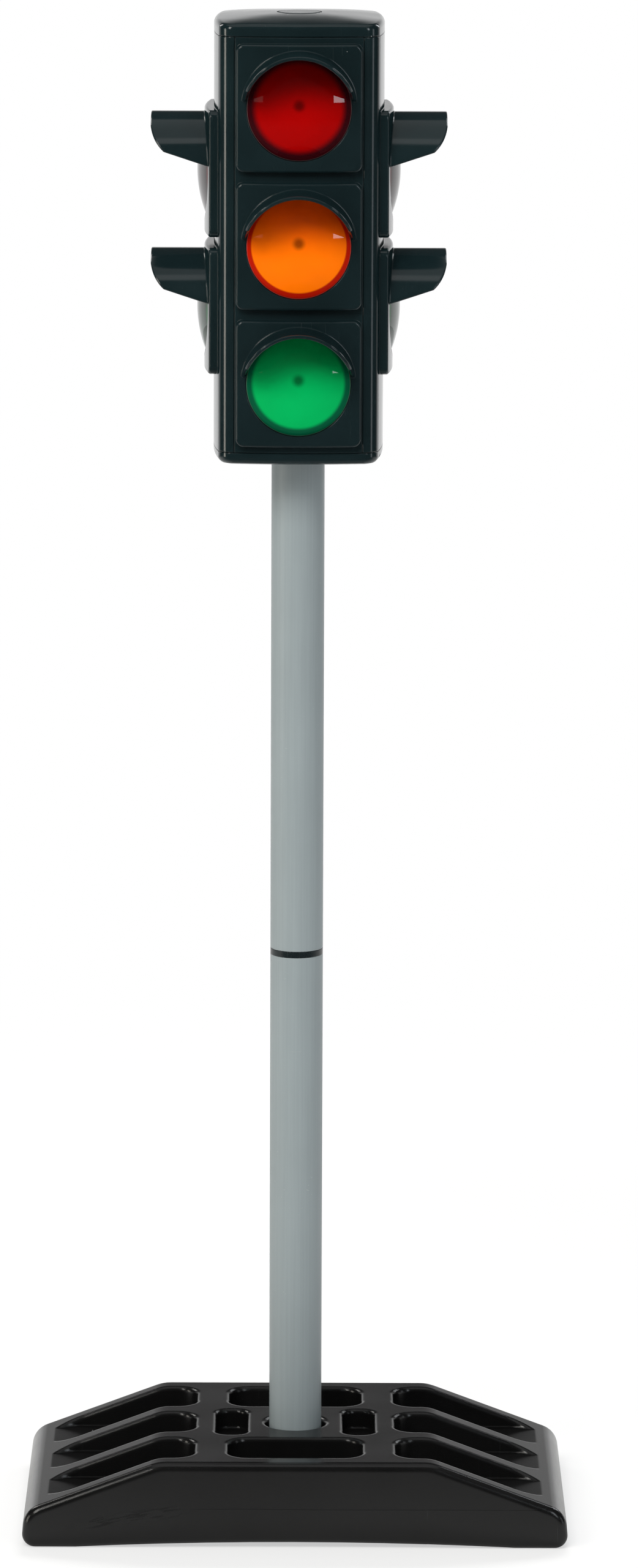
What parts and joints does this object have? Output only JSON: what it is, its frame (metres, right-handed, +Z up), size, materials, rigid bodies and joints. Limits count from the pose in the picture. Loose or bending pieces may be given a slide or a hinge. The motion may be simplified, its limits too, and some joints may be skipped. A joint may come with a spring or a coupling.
{
  "type": "toy traffic light",
  "caption": "Free-standing toy traffic light: four-sided head with hooded domed lenses and a push button, on a jointed round pole in a pocketed base.",
  "frame": {"origin": "centre of the base's underside, on the ground", "axes": "+Z up along the pole, front (three lamps) faces -Y, +X to the right seen from the front"},
  "size_m": [0.2584, 0.149, 0.72],
  "materials": {
    "head_plastic": "glossy very dark green-grey moulded plastic",
    "base_plastic": "black blow-moulded plastic, semi-gloss",
    "pole_plastic": "satin blue-grey tube",
    "ring_plastic": "black moulded plastic",
    "button_plastic": "glossy dark plastic",
    "lens_red": "translucent red, glossy",
    "lens_amber": "translucent amber, glossy",
    "lens_green": "translucent green, glossy",
    "reflector_plastic": "white moulded plastic",
    "led_resin": "clear resin",
    "board": "green circuit board",
    "chip": "black resin",
    "switch_body": "black plastic with a metal cover",
    "spring_steel": "bright spring wire",
    "contact_metal": "nickel-plated strip",
    "screw_steel": "zinc-plated steel",
    "wire_jacket": "soft wire insulation",
    "holder_plastic": "black moulded plastic",
    "cell_jacket": "plain printed sleeve"
  },
  "bodies": {
    "base": {"base_body": "base_plastic"},
    "lower_pole": {"lower_tube": "pole_plastic", "joint_coupler": "ring_plastic"},
    "upper_pole": {"upper_tube": "pole_plastic"},
    "head": {"head_core": "head_plastic", "bottom_cap": "head_plastic", "bottom_cap_screws": "screw_steel", "lamp_board_screws": "screw_steel", "front_panel": "head_plastic", "front_lamp_board": "board", "front_red_lens": "lens_red", "front_red_reflector": "reflector_plastic", "front_red_led": "led_resin", "front_amber_lens": "lens_amber", "front_amber_reflector": "reflector_plastic", "front_amber_led": "led_resin", "front_green_lens": "lens_green", "front_green_reflector": "reflector_plastic", "front_green_led": "led_resin", "rear_panel": "head_plastic", "rear_lamp_board": "board", "rear_red_lens": "lens_red", "rear_red_reflector": "reflector_plastic", "rear_red_led": "led_resin", "rear_amber_lens": "lens_amber", "rear_amber_reflector": "reflector_plastic", "rear_amber_led": "led_resin", "rear_green_lens": "lens_green", "rear_green_reflector": "reflector_plastic", "rear_green_led": "led_resin", "left_panel": "head_plastic", "left_lamp_board": "board", "left_red_lens": "lens_red", "left_red_reflector": "reflector_plastic", "left_red_led": "led_resin", "left_green_lens": "lens_green", "left_green_reflector": "reflector_plastic", "left_green_led": "led_resin", "right_panel": "head_plastic", "right_lamp_board": "board", "right_red_lens": "lens_red", "right_red_reflector": "reflector_plastic", "right_red_led": "led_resin", "right_green_lens": "lens_green", "right_green_reflector": "reflector_plastic", "right_green_led": "led_resin"},
    "cap": {"top_cap": "head_plastic", "button_spring": "spring_steel", "tact_switch": "switch_body", "control_board": "board", "control_chip": "chip", "control_board_screws": "screw_steel", "battery_holder": "holder_plastic", "battery_cells": "cell_jacket", "contact_plates": "contact_metal", "contact_springs": "spring_steel", "lamp_leads": "wire_jacket"},
    "button": {"push_button": "button_plastic"}
  },
  "joints": [
    {"name": "lower_pole_lift", "type": "slide", "parent": "base", "child": "lower_pole", "axis": [0, 0, 1], "range_m": [0, 0.045]},
    {"name": "upper_pole_lift", "type": "slide", "parent": "lower_pole", "child": "upper_pole", "axis": [0, 0, 1], "range_m": [0, 0.03]},
    {"name": "head_turn", "type": "hinge", "parent": "upper_pole", "child": "head", "pos_m": [0, 0, 0.5126], "axis": [0, 0, 1], "continuous": true},
    {"name": "cap_lift", "type": "slide", "parent": "head", "child": "cap", "axis": [0, 0, 1], "range_m": [0, 0.09]},
    {"name": "button_press", "type": "slide", "parent": "cap", "child": "button", "axis": [0, 0, -1], "range_m": [0, 0.0022], "stiffness_N_per_m": 800, "springref_m": -0.0005, "deforming": ["button_spring"]}
  ]
}
